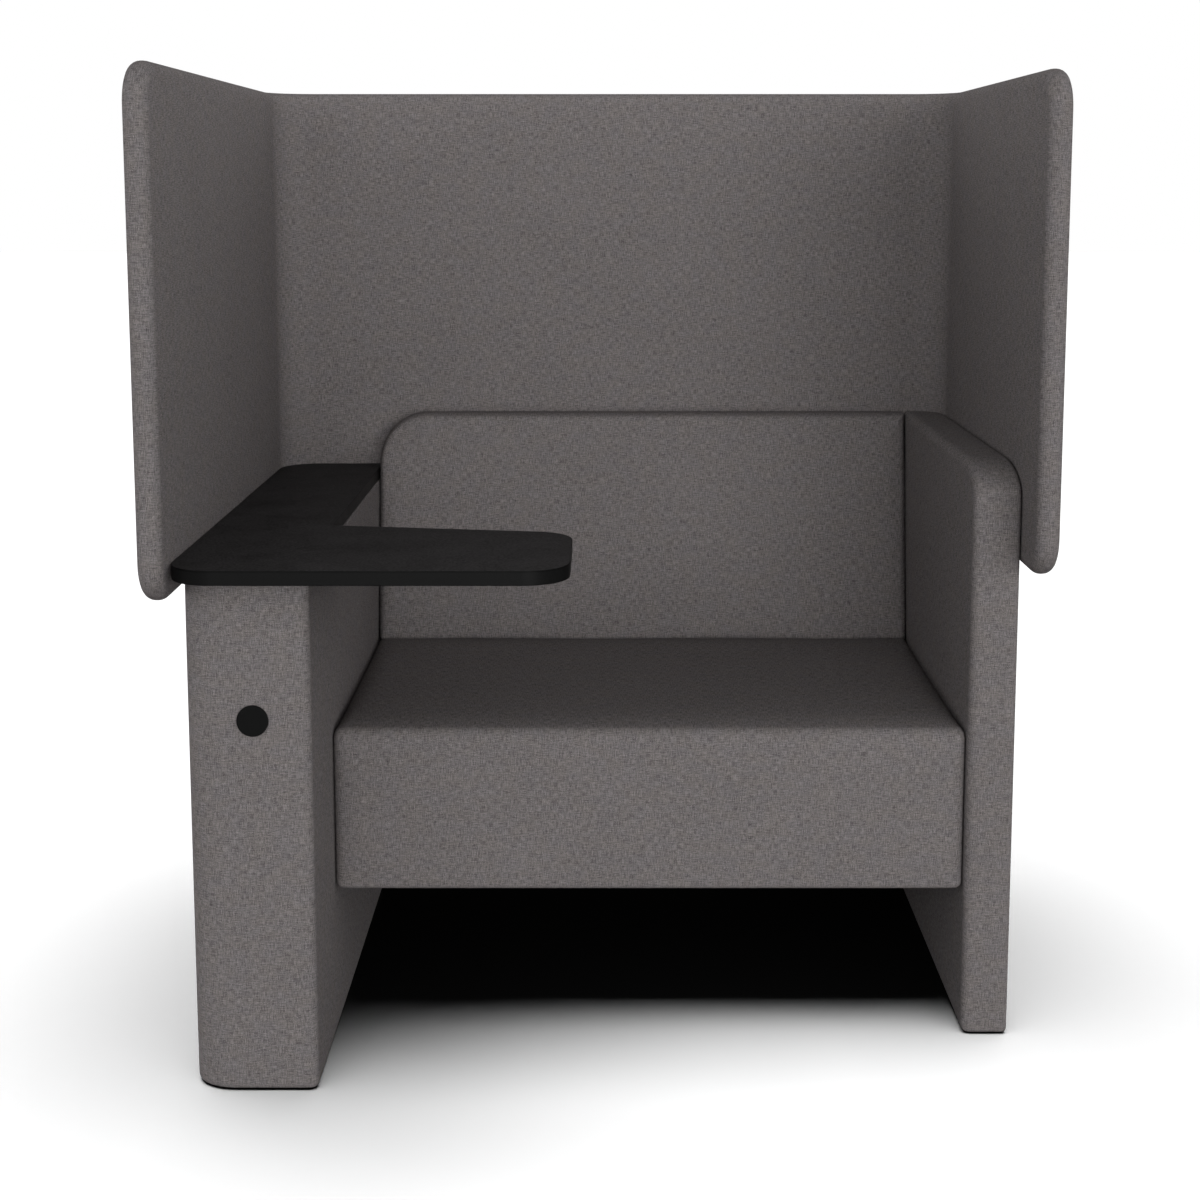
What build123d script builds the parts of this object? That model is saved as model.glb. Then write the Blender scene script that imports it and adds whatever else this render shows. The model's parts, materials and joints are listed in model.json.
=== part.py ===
from build123d import *
import math
import os

os.makedirs("parts", exist_ok=True)

# Acoustic high back lounge chair, in millimetres.
# The front faces -Y. Seen from the front, +X is to the right, and +Z is up.
# The origin is the middle of the outline in plan, on the floor.

# Outline
overall_width = 1188.0
overall_depth = 926.0
overall_height = 1352.0
base_height = 817.0
floor_gap = 2.0

# Layers and clearances
fabric = 1.2
layer_gap = 0.2
seam_gap = 0.3
fit_gap = 0.5
least_round = 0.6
hem = 15.0

# Screen, one U-shaped shell round the back and both sides
screen_thickness = 32.0
screen_core = 12.0
screen_bottom = 678.0
screen_inside_corner = 60.0
wing_corner = 55.0
rim_flat = 3.0
right_wing_setback = 160.0

# Arms
left_arm_width = 167.0
left_arm_height = 707.0
left_arm_setback = 85.0
left_arm_outer_edge = 36.0
right_arm_width = 66.0
right_arm_setback = 251.0
right_arm_nose_run = 100.0
right_arm_nose_drop = 40.0
arm_edge = 9.0
arm_screen_edge = 2.5
arm_bottom_edge = 4.5
arm_foam = 8.0
arm_board = 12.0

# Low back
back_thickness = 48.0
back_lean = 9.7
back_corner = 78.0
back_edge = 10.0
back_foam = 8.0
back_skin = 6.0
back_rail = 45.0
back_stile = 45.0

# Seat
seat_setback = 260.0
seat_bottom = 211.5
seat_top = 445.0
seat_front_edge = 30.0
seat_lower_edge = 8.0
seat_side_edge = 9.0
seat_foam_side = 8.0
seat_rail_height = 80.0
seat_rail = 25.0
corner_block = 55.0
webbing_width = 60.0
webbing_thickness = 2.0
webbing_count = 6
cross_webbing_count = 4
webbing_bearing = 20.0
felt = 5.0
dust_cloth = 0.8
dust_margin = 12.0

# Table
table_thickness = 19.0
table_reach = 506.0
table_end_depth = 257.0
table_taper = 9.1
table_corner = 58.0
table_inner_corner = 5.0
table_band = 1.5
table_edge = 1.0
packer_end_margin = 40.0
packer_side_margin = 18.0

# Bolts, nuts and threaded inserts
bolt_radius = 4.0
small_bolt_radius = 3.0
bolt_clearance = 0.5
thread_gap = 0.05
head_height_share = 0.7
head_radius_share = 1.8
nut_flange = 1.5
nut_flange_radius = 11.0
nut_barrel = 10.0
nut_wall = 1.4
insert_wall = 2.0
insert_length = 11.0
insert_inset = 0.5
seat_bolt_height = 45.0
seat_bolt_inset = 143.0
back_bolt_rise = 116.0
back_bolt_drop = 126.0
screen_bolt_height = 72.0
screen_back_bolt_inset = 94.0
screen_arm_bolt_inset = 160.0
table_bolt_spacing = 54.0
table_bolt_front_inset = 198.0
table_bolt_rear_inset = 270.0

# Outlet in the front of the wide arm
outlet_drop = 197.0
outlet_offset = 92.0
cap_radius = 20.8
cap_thickness = 3.0
cap_edge = 1.0
cap_skirt = 8.0
cap_skirt_wall = 1.5
cap_gap = 0.3
sleeve_radius = 16.0
sleeve_wall = 1.5
sleeve_flange = 1.0
sleeve_flange_radius = 19.5
sleeve_tail = 6.0

# Levelling glides
pad_radius = 15.0
pad_edge = 1.2
stem_length = 38.0
stem_in_pad = 2.0
glide_front_inset = 60.0
glide_rear_inset = 75.0

# Derived places
half_width = overall_width / 2
rear = overall_depth / 2
front = -rear
base_half = half_width - screen_thickness - fit_gap
base_rear = rear - screen_thickness - fit_gap
base_corner = screen_inside_corner - fit_gap
left_arm_front = front + left_arm_setback
right_arm_front = front + right_arm_setback
left_arm_inner = -base_half + left_arm_width
right_arm_inner = base_half - right_arm_width
between_left = left_arm_inner + seam_gap
between_right = right_arm_inner - seam_gap
seat_front = front + seat_setback
panel_front = base_rear - back_thickness
skin_depth = fabric + layer_gap
arm_frame_depth = skin_depth + arm_foam + layer_gap
back_frame_depth = skin_depth + back_foam + layer_gap
seat_frame_depth = skin_depth + seat_foam_side + layer_gap
screen_foam_depth = (screen_thickness - screen_core) / 2
board_bottom = floor_gap + skin_depth
board_top = board_bottom + arm_board
pad_height = board_bottom - layer_gap
table_left = -base_half
table_right = table_left + table_reach
left_arm_middle = (-base_half + left_arm_inner) / 2
right_arm_middle = (base_half + right_arm_inner) / 2


def block(x0, x1, y0, y1, z0, z1):
    """A plain box between two corners."""
    return Pos((x0 + x1) / 2, (y0 + y1) / 2, (z0 + z1) / 2) * Box(x1 - x0, y1 - y0, z1 - z0)


def rod(base, direction, length, radius):
    """A round bar that starts at a point and runs along a direction."""
    return Plane(origin=base, z_dir=direction) * Pos(0, 0, length / 2) * Cylinder(radius, length)


def group(solids):
    """Separate solids kept together as one node."""
    return Compound(children=list(solids))


def rounded(solid, edges, radius):
    """A solid with some edges rounded, or as it was where the radius has run out."""
    return fillet(edges, radius) if radius > least_round else solid


def upright_edge(solid, x, y):
    """The upright edge of a solid that stands at a place in plan."""
    middle = solid.bounding_box().center().Z
    return solid.edges().filter_by(Axis.Z).sort_by_distance((x, y, middle))[0]


def cut(solid, tools):
    """A solid with each tool taken away."""
    for tool in tools:
        solid = solid - tool
    return solid


# Plain forms of the upholstered bodies. Each is drawn in by an inset, so the cover, the foam
# and the frame inside them come from the same form. No foam lies under what stands low, so
# there the inset goes no further than the skin.


def underside(inset):
    """The height of the lowest face of an arm or of the low back."""
    return min(floor_gap + inset, board_bottom)


def base_envelope(inset):
    """The upright space inside the screen, with its two round rear corners."""
    x, y = base_half - inset, base_rear - inset
    space = block(-x, x, 2 * front, y, 0, overall_height)
    corners = [upright_edge(space, -x, y), upright_edge(space, x, y)]
    return fillet(corners, base_corner - inset)


def left_arm_form(inset):
    """The wide arm: a tall box with one large and one small front edge and a round rear corner."""
    x0, x1 = -base_half + inset, left_arm_inner - inset
    y0, y1 = left_arm_front + inset, base_rear - inset
    form = block(x0, x1, y0, y1, underside(inset), left_arm_height - inset)
    form = form & base_envelope(inset)
    form = rounded(form, upright_edge(form, x0, y0), left_arm_outer_edge - inset)
    form = rounded(form, upright_edge(form, x1, y0), arm_edge - inset)
    ends = form.faces().sort_by(Axis.Z)
    rims = ends[0].edges() + ends[-1].edges()
    return rounded(form, rims, arm_bottom_edge - inset)


def right_arm_form(inset):
    """The narrow arm: a tall panel whose front top corner is a long soft nose.
    Its inner and outer halves are rounded apart, because they almost meet at the rear."""
    x0, x1 = right_arm_inner + inset, base_half - inset
    y0 = right_arm_front + inset
    side = make_face(right_arm_side(inset))
    inner = Pos(x0, 0, 0) * extrude(Plane.YZ * side, 2 * right_arm_width)
    inner = rounded(inner, upright_edge(inner, x0, y0), arm_edge - inset)
    outer = Pos(x1, 0, 0) * extrude(Plane.YZ * side, -2 * right_arm_width)
    outer = outer & base_envelope(inset)
    outer = rounded(outer, upright_edge(outer, x1, y0), arm_screen_edge - inset)
    form = inner & outer
    rims = form.faces().sort_by(Axis.Z)[0].edges()
    return rounded(form, rims, arm_bottom_edge - inset)


def right_arm_side(inset):
    """The side view of the narrow arm, with its nose as a quarter of an ellipse."""
    y0, y1 = right_arm_front + inset, base_rear - inset
    z0, z1 = underside(inset), base_height - inset
    nose = (right_arm_front + right_arm_nose_run, base_height - right_arm_nose_drop)
    run, drop = right_arm_nose_run - inset, right_arm_nose_drop - inset
    side = Line((y0, z0), (y0, nose[1]))
    side += EllipticalCenterArc(nose, run, drop, start_angle=90, arc_size=90)
    side += Polyline((nose[0], z1), (y1, z1), (y1, z0), (y0, z0))
    return side


def back_form(inset):
    """The low back: an upright panel with a leaning wedge above the seat."""
    lean = math.tan(math.radians(back_lean))
    wedge_bottom = seat_top + seam_gap
    toe = panel_front - (base_height - wedge_bottom) * lean
    low = underside(inset) - inset
    side = Polyline(
        (base_rear, low),
        (base_rear, base_height),
        (panel_front, base_height),
        (toe, wedge_bottom),
        (panel_front, wedge_bottom),
        (panel_front, low),
        close=True,
    )
    outline = make_face(side)
    if inset:
        outline = offset(outline, -inset, kind=Kind.INTERSECTION)
    x0, x1 = between_left + inset, between_right - inset
    form = Pos(x0, 0, 0) * extrude(Plane.YZ * outline, x1 - x0)
    form = round_back_corner(form, x0, base_height - inset, inset)
    leaning = form.faces().sort_by_distance((0, toe, seat_top + back_corner))[0]
    across = leaning.edges().sort_by(Axis.Z)[1:]
    return rounded(form, across, back_edge - inset)


def round_back_corner(form, x, z, inset):
    """The upper corner beside the table, rounded as seen from the front."""
    corner = form.edges().filter_by(Axis.Y).sort_by_distance((x, panel_front + 20, z))[0]
    return rounded(form, corner, back_corner - inset)


def back_panel_form(inset):
    """The upright panel of the low back alone, without the foam wedge."""
    x0, x1 = between_left + inset, between_right - inset
    y0, y1 = panel_front + inset, base_rear - inset
    form = block(x0, x1, y0, y1, underside(inset), base_height - inset)
    return round_back_corner(form, x0, base_height - inset, inset)


def seat_form(inset):
    """The seat: a deep box with a soft front edge, from arm to arm."""
    x0, x1 = between_left + inset, between_right - inset
    y0, y1 = seat_front + inset, panel_front - seam_gap - inset
    z0, z1 = seat_bottom + inset, seat_top - inset
    form = block(x0, x1, y0, y1, z0, z1)
    across = form.edges().filter_by(Axis.X)
    top_edge = across.sort_by_distance((0, y0, z1))[0]
    form = rounded(form, top_edge, seat_front_edge - inset)
    across = form.edges().filter_by(Axis.X)
    low_edge = across.sort_by_distance((0, y0, z0))[0]
    form = rounded(form, low_edge, seat_lower_edge - inset)
    sides = [upright_edge(form, x0, y0), upright_edge(form, x1, y0)]
    return rounded(form, sides, seat_side_edge - inset)


def screen_form(inset):
    """The screen: a U in plan with two wings of unequal length and rounded rims."""
    z0, z1 = screen_bottom + inset, overall_height - inset
    x_out, y_out = half_width - inset, rear - inset
    x_in = half_width - screen_thickness + inset
    y_in = rear - screen_thickness + inset
    form = block(-x_out, x_out, front + inset, y_out, z0, z1)
    outside = [upright_edge(form, -x_out, y_out), upright_edge(form, x_out, y_out)]
    form = fillet(outside, screen_inside_corner + screen_thickness - inset)
    bay = block(-x_in, x_in, 2 * front, y_in, z0 - 1, z1 + 1)
    inside = [upright_edge(bay, -x_in, y_in), upright_edge(bay, x_in, y_in)]
    bay = fillet(inside, screen_inside_corner + inset)
    short_wing = front + right_wing_setback + inset
    form = form - bay - block(0, 2 * half_width, 2 * front, short_wing, z0 - 1, z1 + 1)
    corners = [e for e in form.edges().filter_by(Axis.X) if e.center().Y < 0]
    form = fillet(corners, wing_corner - inset)
    rims = [e for e in form.edges().filter_by(Axis.Y) if e.center().Z > z1 - 1]
    return fillet(rims, (screen_thickness - 2 * inset - rim_flat) / 2)


# Places of the bolts. A bolt is given by the underside of its head, its direction and its length.

seat_bolt_y = (seat_front + seat_bolt_inset, panel_front - seat_bolt_inset)
back_bolt_z = (floor_gap + back_bolt_rise, left_arm_height - back_bolt_drop)
screen_bolt_z = screen_bottom + screen_bolt_height
screen_arm_bolt_y = (right_arm_front + screen_arm_bolt_inset, base_rear - screen_arm_bolt_inset)
screen_back_bolt_x = (
    between_left + screen_back_bolt_inset,
    (between_left + between_right) / 2,
    between_right - screen_back_bolt_inset,
)
table_bolt_x = (
    left_arm_middle - table_bolt_spacing / 2,
    left_arm_middle + table_bolt_spacing / 2,
)
table_bolt_y = (left_arm_front + table_bolt_front_inset, base_rear - table_bolt_rear_inset)
seat_bolt_places = [(y, seat_bottom + seat_bolt_height) for y in seat_bolt_y]
back_bolt_places = [(base_rear - back_thickness / 2, z) for z in back_bolt_z]


def hex_bolt(base, direction, length, radius):
    """A hexagon headed bolt."""
    height = radius * 2 * head_height_share
    head = extrude(RegularPolygon(radius * head_radius_share, 6), -height)
    shank = Pos(0, 0, length / 2) * Cylinder(radius, length)
    return Plane(origin=base, z_dir=direction) * (head + shank)


def tee_nut(base, direction, radius):
    """A tee nut whose flange lies on the face at base and whose barrel goes into the wood."""
    barrel = Pos(0, 0, nut_barrel / 2) * Cylinder(radius + nut_wall, nut_barrel)
    flange = Pos(0, 0, -nut_flange / 2) * Cylinder(nut_flange_radius, nut_flange)
    bore = Cylinder(radius + thread_gap, 4 * nut_barrel)
    return Plane(origin=base, z_dir=direction) * (barrel + flange - bore)


def threaded_insert(tip, direction, radius):
    """A threaded sleeve in a blind hole, with the tip of a bolt at its far end."""
    place = Pos(0, 0, -insert_length / 2)
    sleeve = place * Cylinder(radius + insert_wall, insert_length)
    bore = place * Cylinder(radius + thread_gap, insert_length)
    return Plane(origin=tip, z_dir=direction) * (sleeve - bore)


def tips(bolts):
    """The tip and direction of each bolt."""
    return [
        (tuple(base[i] + way[i] * length for i in range(3)), way) for base, way, length in bolts
    ]


def insert_pockets(bolts, radius):
    """Blind holes for the threaded inserts, a little deeper than the inserts are long."""
    depth = insert_length + insert_inset
    place = Pos(0, 0, insert_inset - depth / 2)
    hole = place * Cylinder(radius + insert_wall + layer_gap, depth)
    return [Plane(origin=tip, z_dir=way) * hole for tip, way in tips(bolts)]


def clear_holes(bolts, radius):
    """Bars that clear each bolt from its head to where its insert starts."""
    wide = radius + bolt_clearance
    return [rod(base, way, length - insert_length, wide) for base, way, length in bolts]


def arm_bolts():
    """Bolts from the seat rails and the back stiles outward into the inner boards of the arms."""
    reach = seam_gap + arm_frame_depth + insert_length
    found = []
    for side, edge in ((-1, between_left), (1, between_right)):
        for wood, depth, places in (
            (seat_rail, seat_frame_depth, seat_bolt_places),
            (back_stile, back_frame_depth, back_bolt_places),
        ):
            head = edge - side * (depth + wood)
            found += [((head, y, z), (side, 0, 0), wood + depth + reach) for y, z in places]
    return found


def screen_bolts():
    """Bolts from inside the back panel and the narrow arm into the core of the screen."""
    reach = fit_gap + screen_foam_depth + insert_length
    found = []
    for x in screen_back_bolt_x:
        head = base_rear - back_frame_depth - back_skin
        found.append(((x, head, screen_bolt_z), (0, 1, 0), back_skin + back_frame_depth + reach))
    for y in screen_arm_bolt_y:
        head = base_half - arm_frame_depth - arm_board
        found.append(((head, y, screen_bolt_z), (1, 0, 0), arm_board + arm_frame_depth + reach))
    return found


def table_bolts():
    """Bolts from inside the wide arm up into the table."""
    head = left_arm_height - arm_frame_depth - arm_board
    length = arm_board + arm_frame_depth + insert_length
    return [((x, y, head), (0, 0, 1), length) for x in table_bolt_x for y in table_bolt_y]


arm_bolt_holes = clear_holes(arm_bolts(), bolt_radius)
arm_insert_pockets = insert_pockets(arm_bolts(), bolt_radius)
screen_bolt_holes = clear_holes(screen_bolts(), small_bolt_radius)
table_bolt_holes = clear_holes(table_bolts(), small_bolt_radius)


# Outlet

outlet_x = -base_half + outlet_offset
outlet_height = left_arm_height - outlet_drop
outlet_point = (outlet_x, left_arm_front, outlet_height)


def outlet_bore():
    """The round hole through the front of the arm that the sleeve lines."""
    depth = arm_frame_depth + arm_board + 1
    return rod(outlet_point, (0, 1, 0), depth, sleeve_radius + sleeve_wall + cap_gap)


def outlet_sleeve():
    """A flanged liner with its flange on the front of the arm."""
    length = arm_frame_depth + arm_board + sleeve_tail
    tube = rod(outlet_point, (0, 1, 0), length, sleeve_radius + sleeve_wall)
    flange = rod(outlet_point, (0, -1, 0), sleeve_flange, sleeve_flange_radius)
    middle = (outlet_x, left_arm_front - 2 * sleeve_flange, outlet_height)
    return tube + flange - rod(middle, (0, 1, 0), 2 * length, sleeve_radius)


def outlet_cap():
    """A flat disc with a soft rim that covers the flange, with a skirt that plugs the sleeve."""
    back = (outlet_x, left_arm_front - sleeve_flange - cap_gap, outlet_height)
    disc = rod(back, (0, -1, 0), cap_thickness, cap_radius)
    disc = fillet(disc.faces().sort_by(Axis.Y)[0].edges(), cap_edge)
    skirt = rod(back, (0, 1, 0), cap_skirt, sleeve_radius - cap_gap)
    hollow = rod(back, (0, 1, 0), cap_skirt, sleeve_radius - cap_gap - cap_skirt_wall)
    return disc + (skirt - hollow)


# Levelling glides

glide_places = {
    "front_left": (left_arm_middle, left_arm_front + glide_front_inset),
    "rear_left": (left_arm_middle, base_rear - glide_rear_inset),
    "front_right": (right_arm_middle, right_arm_front + glide_front_inset),
    "rear_right": (right_arm_middle, base_rear - glide_rear_inset),
}


def glide_pad(place):
    """A round moulded foot."""
    pad = rod((*place, 0), (0, 0, 1), pad_height, pad_radius)
    pad = fillet(pad.faces().sort_by(Axis.Z)[0].edges(), pad_edge)
    socket = rod((*place, pad_height - stem_in_pad), (0, 0, 1), stem_in_pad, bolt_radius)
    return pad - socket


def glide_stem(place):
    """The threaded stem that stands in the foot."""
    return rod((*place, pad_height - stem_in_pad), (0, 0, 1), stem_length, bolt_radius)


def glide_nuts():
    """Tee nuts on the bottom boards of the arms, one over each glide."""
    down = (0, 0, -1)
    return [tee_nut((*place, board_top), down, bolt_radius) for place in glide_places.values()]


def glide_holes():
    """Bars that clear the stems and nut barrels through the bottom of each arm."""
    radius = bolt_radius + nut_wall + layer_gap
    return [rod((*place, 0), (0, 0, 1), board_top, radius) for place in glide_places.values()]


# Arms


def arm_cover(form, x0, x1, y0):
    """The fabric skin of an arm, turned under by a hem and open below."""
    mouth = block(x0 + hem, x1 - hem, y0 + hem, base_rear - hem, 0, floor_gap + 2 * fabric)
    skin = form(0) - form(fabric) - (mouth & base_envelope(hem))
    return cut(skin, arm_bolt_holes + screen_bolt_holes + table_bolt_holes)


def arm_foam_wrap(form):
    """The foam between the skin and the frame."""
    wrap = form(skin_depth) - form(skin_depth + arm_foam)
    return cut(wrap, arm_bolt_holes + screen_bolt_holes)


def arm_frame(form, posts):
    """Boards and posts of an arm: two sides, two ends, a top, a bottom and the corner posts."""
    body = form(arm_frame_depth)
    box = body.bounding_box()
    x_low, x_high = box.min.X, box.max.X
    y_low, y_high = box.min.Y, box.max.Y
    z_low, z_high = box.min.Z, box.max.Z
    t = arm_board
    corner_posts = [body & block(*p, z_low, z_high) for p in posts]
    holes = arm_insert_pockets + screen_bolt_holes
    sides = [
        body & block(x_low, x_low + t, y_low, y_high, z_low, z_high),
        body & block(x_high - t, x_high, y_low, y_high, z_low, z_high),
    ]
    sides = [cut(side, corner_posts + holes) for side in sides]
    ends = [
        body & block(x_low + t, x_high - t, y_low, y_low + t, z_low, z_high),
        body & block(x_low + t, x_high - t, y_high - t, y_high, z_low, z_high),
    ]
    ends = [cut(end, corner_posts) for end in ends]
    lids = [
        body & block(x_low + t, x_high - t, y_low + t, y_high - t, z_low, z_low + t),
        body & block(x_low + t, x_high - t, y_low + t, y_high - t, z_high - t, z_high),
    ]
    lids = [cut(lid, corner_posts + glide_holes() + table_bolt_holes) for lid in lids]
    return sides, ends, lids, corner_posts


def left_arm_parts():
    """All pieces of the wide arm."""
    x0, y1 = -base_half + arm_frame_depth, base_rear - arm_frame_depth
    y0 = left_arm_front + arm_frame_depth
    front_post = left_arm_outer_edge - arm_frame_depth
    rear_post = base_corner - arm_frame_depth
    posts = [
        (x0, x0 + front_post, y0, y0 + front_post),
        (x0, x0 + rear_post, y1 - rear_post, y1),
    ]
    sides, ends, lids, corner_posts = arm_frame(left_arm_form, posts)
    ends = [end - outlet_bore() for end in ends]
    wrap = arm_foam_wrap(left_arm_form) - outlet_bore() - packer_form(layer_gap)
    cover = arm_cover(left_arm_form, -base_half, left_arm_inner, left_arm_front)
    return {
        "left_arm_side_boards": group(sides),
        "left_arm_end_boards": group(ends),
        "left_arm_lid_boards": group(lids),
        "left_arm_posts": group(corner_posts),
        "left_arm_foam": wrap,
        "left_arm_cover": cover - outlet_bore(),
        "table_packer": cut(packer_form(0), table_bolt_holes),
    }


def right_arm_parts():
    """All pieces of the narrow arm."""
    x1, y1 = base_half - arm_frame_depth, base_rear - arm_frame_depth
    rear_post = base_corner - arm_frame_depth
    post = (right_arm_inner + arm_frame_depth + arm_board, x1, y1 - rear_post, y1)
    sides, ends, lids, corner_posts = arm_frame(right_arm_form, [post])
    return {
        "right_arm_side_boards": group(sides),
        "right_arm_end_boards": group(ends),
        "right_arm_lid_boards": group(lids),
        "right_arm_post": group(corner_posts),
        "right_arm_foam": arm_foam_wrap(right_arm_form),
        "right_arm_cover": arm_cover(right_arm_form, right_arm_inner, base_half, right_arm_front),
    }


def packer_form(grow):
    """The hard pad in the foam of the arm's top that the table is bolted down on."""
    top = left_arm_height - skin_depth
    return block(
        table_bolt_x[0] - packer_side_margin - grow,
        table_bolt_x[1] + packer_side_margin + grow,
        table_bolt_y[0] - packer_end_margin - grow,
        table_bolt_y[1] + packer_end_margin + grow,
        top - arm_foam - grow,
        top + grow,
    )


# Low back


def back_parts():
    """All pieces of the low back."""
    body = back_panel_form(back_frame_depth)
    box = body.bounding_box()
    y0, y1 = box.min.Y, box.max.Y
    x0, x1 = box.min.X, box.max.X
    z0, z1 = box.min.Z, box.max.Z
    everywhere = arm_bolt_holes + screen_bolt_holes
    skins = [
        body & block(x0, x1, y0, y0 + back_skin, z0, z1),
        body & block(x0, x1, y1 - back_skin, y1, z0, z1),
    ]
    skins = [cut(skin, everywhere) for skin in skins]
    middle = body & block(x0, x1, y0 + back_skin, y1 - back_skin, z0, z1)
    stiles = [
        cut(middle & block(x0, x0 + back_stile, y0, y1, z0, z1), arm_bolt_holes),
        cut(middle & block(x1 - back_stile, x1, y0, y1, z0, z1), arm_bolt_holes),
    ]
    levels = [z0, seat_bottom + seat_rail_height, seat_top, z1 - back_rail]
    rails = [
        middle & block(x0 + back_stile, x1 - back_stile, y0, y1, z, z + back_rail) for z in levels
    ]
    foam = back_form(skin_depth) - back_panel_form(skin_depth + back_foam)
    cover = back_form(0) - back_form(fabric)
    mouth = block(
        between_left + hem,
        between_right - hem,
        panel_front + hem,
        base_rear - hem,
        0,
        floor_gap + 2 * fabric,
    )
    return {
        "back_skins": group(skins),
        "back_stiles": group(stiles),
        "back_rails": group(rails),
        "back_foam": cut(foam, everywhere),
        "back_cover": cut(cover - mouth, everywhere),
    }


# Seat


def seat_parts():
    """All pieces of the seat."""
    d = seat_frame_depth
    x0, x1 = between_left + d, between_right - d
    y0, y1 = seat_front + d, panel_front - seam_gap - d
    z0 = seat_bottom + fabric + layer_gap
    z1 = z0 + seat_rail_height
    r = seat_rail
    inside = seat_form(skin_depth)
    side_rails = [block(x0, x0 + r, y0, y1, z0, z1), block(x1 - r, x1, y0, y1, z0, z1)]
    side_rails = [cut(rail & inside, arm_bolt_holes) for rail in side_rails]
    cross_rails = [
        block(x0 + r, x1 - r, y0, y0 + r, z0, z1) & inside,
        block(x0 + r, x1 - r, y1 - r, y1, z0, z1) & inside,
    ]
    frame_space = block(
        x0 - layer_gap,
        x1 + layer_gap,
        y0 - layer_gap,
        y1 + layer_gap,
        0,
        z1 + 2 * webbing_thickness + felt + layer_gap,
    )
    felt_bottom = z1 + 2 * webbing_thickness
    felt_pad = block(x0, x1, y0, y1, felt_bottom, felt_bottom + felt)
    cover = seat_form(0) - seat_form(fabric)
    mouth = block(x0 + hem, x1 - hem, y0 + hem, y1 - hem, 0, seat_bottom + 2 * fabric)
    cloth = block(
        x0 + dust_margin,
        x1 - dust_margin,
        y0 + dust_margin,
        y1 - dust_margin,
        seat_bottom - dust_cloth,
        seat_bottom,
    )
    return {
        "seat_side_rails": group(side_rails),
        "seat_cross_rails": group(cross_rails),
        "seat_corner_blocks": group(corner_blocks(x0 + r, x1 - r, y0 + r, y1 - r, z0, z1)),
        "seat_webbing": group(webbing_straps(x0, x1, y0, y1, z1)),
        "seat_cross_webbing": group(cross_straps(x0, x1, y0, y1, z1 + webbing_thickness)),
        "seat_felt": felt_pad,
        "seat_foam": cut(seat_form(skin_depth) - frame_space, arm_bolt_holes),
        "seat_cover": cut(cover - mouth, arm_bolt_holes),
        "dust_cloth": cloth,
    }


def corner_blocks(x0, x1, y0, y1, z0, z1):
    """Triangular blocks glued into the inner corners of the seat frame."""
    corners = [(x0, y0, 1, 1), (x1, y0, -1, 1), (x1, y1, -1, -1), (x0, y1, 1, -1)]
    blocks = []
    for x, y, sx, sy in corners:
        legs = Polyline((x, y), (x + sx * corner_block, y), (x, y + sy * corner_block), close=True)
        blocks.append(Pos(0, 0, z0) * extrude(make_face(legs), z1 - z0))
    return blocks


def evenly(low, high, width, count):
    """Low edges of a row of strips of equal width with equal gaps, ends included."""
    gap = (high - low - count * width) / (count + 1)
    return [low + gap + i * (width + gap) for i in range(count)]


def webbing_straps(x0, x1, y0, y1, z):
    """Elastic webbing from the front rail to the rear rail."""
    start, stop = y0 + seat_rail - webbing_bearing, y1 - seat_rail + webbing_bearing
    places = evenly(x0 + seat_rail, x1 - seat_rail, webbing_width, webbing_count)
    top = z + webbing_thickness
    return [block(x, x + webbing_width, start, stop, z, top) for x in places]


def cross_straps(x0, x1, y0, y1, z):
    """Elastic webbing from side rail to side rail, over the first layer."""
    start, stop = x0 + seat_rail - webbing_bearing, x1 - seat_rail + webbing_bearing
    places = evenly(y0 + seat_rail, y1 - seat_rail, webbing_width, cross_webbing_count)
    top = z + webbing_thickness
    return [block(start, stop, y, y + webbing_width, z, top) for y in places]


# Screen


def screen_parts():
    """The core, the foam wrap and the fabric sleeve of the screen."""
    bolts = screen_bolts()
    core = cut(screen_form(screen_foam_depth), insert_pockets(bolts, small_bolt_radius))
    wrap = screen_form(skin_depth) - screen_form(screen_foam_depth - layer_gap)
    wrap = cut(wrap, screen_bolt_holes + foam_joints())
    skin = screen_form(0) - screen_form(fabric)
    inserts = [threaded_insert(*tip, small_bolt_radius) for tip in tips(bolts)]
    return {
        "screen_core": core,
        "screen_foam": group(wrap.solids()),
        "screen_cover": cut(skin, screen_bolt_holes),
        "screen_bolts": group(hex_bolt(*bolt, small_bolt_radius) for bolt in bolts),
        "screen_inserts": group(inserts),
    }


def foam_joints():
    """Thin upright cuts where the sheets of foam meet, at both ends of each rounded corner."""
    x = half_width - screen_thickness - screen_inside_corner
    y = rear - screen_thickness - screen_inside_corner
    z0, z1 = screen_bottom, overall_height
    return [
        block(-half_width, half_width, y - layer_gap, y, z0, z1),
        block(-x, -x + layer_gap, y, rear, z0, z1),
        block(x - layer_gap, x, y, rear, z0, z1),
    ]


# Table


def table_outline():
    """The L-shaped outline of the table in plan, with its rounded corners."""
    inner = left_arm_inner
    end_back = front + table_end_depth
    inner_back = end_back + (table_right - inner) * math.tan(math.radians(table_taper))
    corners = [
        ((table_left, front), table_corner),
        ((table_right, front), table_corner),
        ((table_right, end_back), table_corner),
        ((inner, inner_back), table_inner_corner),
        ((inner, base_rear), 0),
        ((table_left, base_rear), base_corner),
    ]
    outline = make_face(Polyline(*[point for point, _ in corners], close=True))
    for point, radius in corners:
        if radius:
            corner = outline.vertices().sort_by_distance(point)[0]
            outline = fillet(corner, radius)
    return outline


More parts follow.
